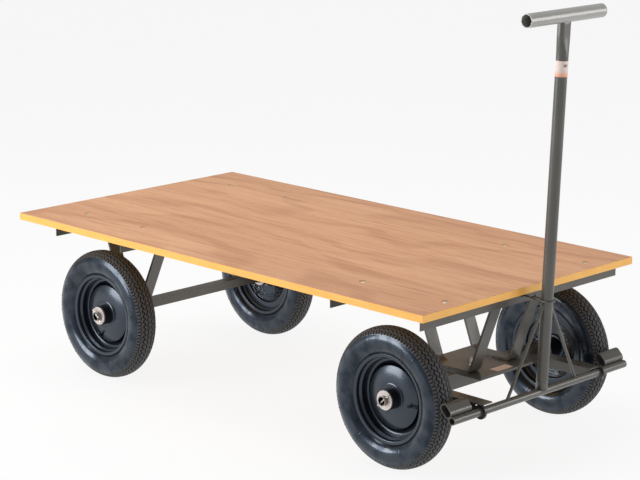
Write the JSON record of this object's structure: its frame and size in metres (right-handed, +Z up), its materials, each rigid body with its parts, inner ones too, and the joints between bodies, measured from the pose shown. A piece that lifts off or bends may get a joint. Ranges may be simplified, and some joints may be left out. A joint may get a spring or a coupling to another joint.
{
  "type": "platform cart",
  "caption": "Flat platform cart with a laminated deck, turntable-steered front axle, pneumatic wheels and an upright T-handle that also works the front brake shoes.",
  "frame": {"origin": "on the floor under the middle of the whole cart's bounding box", "axes": "+X towards the pull handle along the deck, +Y to the left side across the deck, +Z up"},
  "size_m": [1.5902, 0.8, 1.1148],
  "materials": {
    "plywood": "varnished plywood edge",
    "laminate": "satin wood-grain laminate",
    "zinc": "zinc-plated",
    "bearing_steel": "ground",
    "tyre": "moulded rubber with a low sheen",
    "rim_black": "glossy black paint",
    "hub_black": "satin black paint",
    "valve_rubber": "matt",
    "label": "blank paper label",
    "dark_steel": "dark paint",
    "frame_paint": "semi-gloss graphite-grey paint"
  },
  "bodies": {
    "platform": {"deck_board": "plywood", "deck_laminate": "laminate", "deck_bolts": "zinc", "deck_washers": "zinc", "deck_nuts": "zinc", "beam_front": "frame_paint", "beam_second": "frame_paint", "beam_third": "frame_paint", "beam_rear": "frame_paint", "front_strut_right": "frame_paint", "front_strut_left": "frame_paint", "rear_strut_right": "frame_paint", "rear_strut_left": "frame_paint", "turntable_plate_upper": "frame_paint", "king_bolt": "zinc", "king_washer": "zinc", "king_clip": "zinc", "plate_label": "label", "keeper_staple": "frame_paint", "rear_axle_beam": "frame_paint", "rear_stub_axles": "zinc", "rear_washers": "zinc", "rear_cotter_pins": "zinc"},
    "front_axle": {"turntable_plate_lower": "frame_paint", "front_axle_beam": "frame_paint", "tow_arm_right": "frame_paint", "tow_arm_left": "frame_paint", "pivot_eyes": "dark_steel", "front_stub_axles": "zinc", "front_washers": "zinc", "front_cotter_pins": "zinc"},
    "handle": {"cross_tube": "frame_paint", "handle_tube": "frame_paint", "grip_tube": "frame_paint", "brace_rods": "frame_paint", "brake_shoe_right": "frame_paint", "brake_shoe_left": "frame_paint", "keeper_loop": "frame_paint", "handle_label": "label"},
    "wheel_front_right": {"tyre_front_right": "tyre", "rim_front_right": "rim_black", "hub_front_right": "hub_black", "bearings_front_right": "bearing_steel", "valve_front_right": "valve_rubber"},
    "wheel_front_left": {"tyre_front_left": "tyre", "rim_front_left": "rim_black", "hub_front_left": "hub_black", "bearings_front_left": "bearing_steel", "valve_front_left": "valve_rubber"},
    "wheel_rear_right": {"tyre_rear_right": "tyre", "rim_rear_right": "rim_black", "hub_rear_right": "hub_black", "bearings_rear_right": "bearing_steel", "valve_rear_right": "valve_rubber"},
    "wheel_rear_left": {"tyre_rear_left": "tyre", "rim_rear_left": "rim_black", "hub_rear_left": "hub_black", "bearings_rear_left": "bearing_steel", "valve_rear_left": "valve_rubber"}
  },
  "joints": [
    {"name": "steer", "type": "hinge", "parent": "platform", "child": "front_axle", "pos_m": [0.52737, 0, 0.177], "axis": [0, 0, 1], "range_deg": [-28, 28]},
    {"name": "handle_tilt", "type": "hinge", "parent": "front_axle", "child": "handle", "pos_m": [0.73947, 0, 0.172], "axis": [0, 1, 0], "range_deg": [0, 96]},
    {"name": "front_right_wheel_spin", "type": "hinge", "parent": "front_axle", "child": "wheel_front_right", "pos_m": [0.52737, -0.3025, 0.177], "axis": [0, 1, 0], "continuous": true},
    {"name": "front_left_wheel_spin", "type": "hinge", "parent": "front_axle", "child": "wheel_front_left", "pos_m": [0.52737, 0.3025, 0.177], "axis": [0, 1, 0], "continuous": true},
    {"name": "rear_right_wheel_spin", "type": "hinge", "parent": "platform", "child": "wheel_rear_right", "pos_m": [-0.54213, -0.3025, 0.177], "axis": [0, 1, 0], "continuous": true},
    {"name": "rear_left_wheel_spin", "type": "hinge", "parent": "platform", "child": "wheel_rear_left", "pos_m": [-0.54213, 0.3025, 0.177], "axis": [0, 1, 0], "continuous": true}
  ]
}
